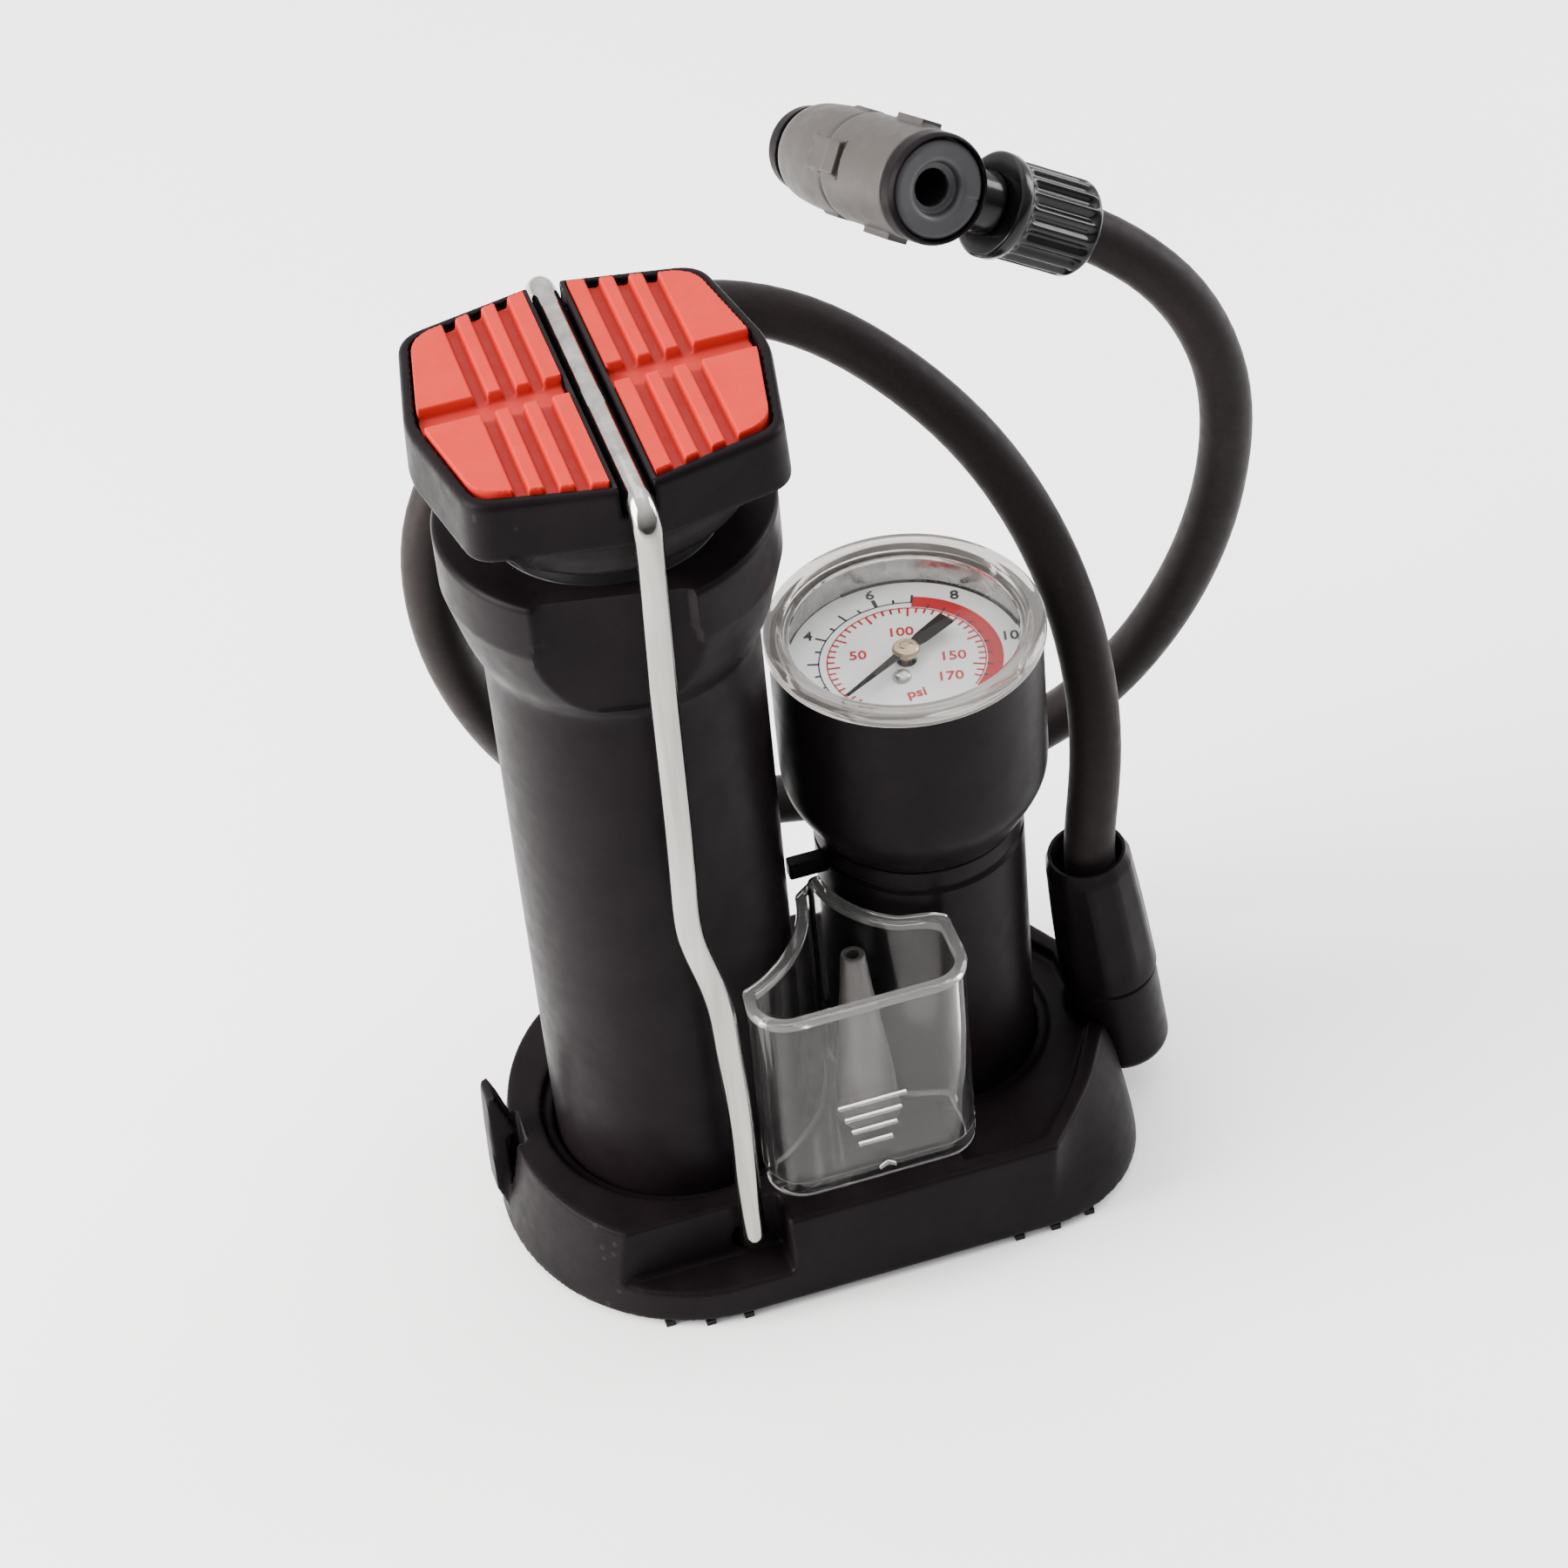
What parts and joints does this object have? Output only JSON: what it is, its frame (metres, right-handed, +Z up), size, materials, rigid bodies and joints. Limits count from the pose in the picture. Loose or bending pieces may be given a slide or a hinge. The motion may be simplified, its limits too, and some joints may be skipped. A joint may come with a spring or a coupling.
{
  "type": "foot-operated floor bike pump",
  "caption": "Compact foot-operated floor pump: red-treaded pedal on an upright barrel, locked down by a wire bail, with a pressure gauge, clear accessory bin and hose with valve head.",
  "frame": {"origin": "on the floor, under the pump barrel's axis", "axes": "+X from the barrel towards the hose socket, +Z up the barrel, -Y towards the side that the accessory bin slides out of"},
  "size_m": [0.1345, 0.0855, 0.1745],
  "materials": {
    "black_plastic": "fine moulded satin",
    "gloss_black_plastic": "glossy",
    "black_rubber": "matt",
    "red_rubber": "satin",
    "chrome_wire": "bright",
    "steel": "drawn",
    "brass": "machined",
    "dial_white": "printed",
    "clear_plastic": "clear moulded plastic",
    "grey_plastic": "satin warm grey",
    "nozzle_plastic": "translucent",
    "bush_plastic": "black acetal"
  },
  "bodies": {
    "pump_body": {"base": "black_plastic", "base_cover": "black_plastic", "base_screw_1": "steel", "base_screw_2": "steel", "base_screw_3": "steel", "base_screw_4": "steel", "foot_pad_left": "black_rubber", "foot_pad_right": "black_rubber", "air_manifold": "black_plastic", "pump_barrel": "black_plastic", "guide_bush": "bush_plastic", "return_spring": "steel", "check_valve_spring": "steel", "gauge_column": "black_plastic", "gauge_cup": "black_plastic", "gauge_stem": "brass", "bourdon_coil": "brass", "dial_plate": "dial_white", "gauge_lens": "clear_plastic", "hose_elbow": "black_plastic", "hose_collar": "black_plastic", "hose": "black_rubber", "hose_nut": "gloss_black_plastic", "valve_body": "grey_plastic", "valve_front_cap": "black_plastic", "valve_grommet": "black_rubber", "valve_rear_cap": "black_plastic", "valve_depressor": "brass"},
    "pedal": {"pedal_head": "black_plastic", "tread_pad_left": "red_rubber", "tread_pad_right": "red_rubber", "plunger_tube": "steel", "piston": "black_plastic", "piston_seal": "black_rubber", "piston_screw": "steel"},
    "bail": {"bail_wire": "chrome_wire"},
    "gauge_needle": {"needle": "black_plastic", "needle_spindle": "brass"},
    "bin": {"accessory_bin": "clear_plastic", "cone_nozzle": "nozzle_plastic"},
    "valve_ball": {"check_ball": "steel"}
  },
  "joints": [
    {"name": "pedal_stroke", "type": "slide", "parent": "pump_body", "child": "pedal", "axis": [0, 0, -1], "range_m": [-0.08, 0], "deforming": ["return_spring"]},
    {"name": "bail_swing", "type": "hinge", "parent": "pump_body", "child": "bail", "pos_m": [0.003, 0, 0.0108], "axis": [0, 1, 0], "range_deg": [-90.5, 0]},
    {"name": "needle_turn", "type": "hinge", "parent": "pump_body", "child": "gauge_needle", "pos_m": [0.04256, 0.00178, 0.095], "axis": [0, 0, -1], "range_deg": [0, 259], "stiffness_Nm_per_rad": 0.0005},
    {"name": "bin_slide", "type": "slide", "parent": "pump_body", "child": "bin", "axis": [0, -1, 0], "range_m": [0, 0.035]},
    {"name": "check_valve_lift", "type": "slide", "parent": "pump_body", "child": "valve_ball", "axis": [0, 0, -1], "range_m": [0, 0.0012], "stiffness_N_per_m": 100, "springref_m": -0.0005, "deforming": ["check_valve_spring"]}
  ],
  "couplings": [
    {"joint": "bail_swing", "follows": "pedal_stroke", "rad_per_m": 19.6}
  ]
}
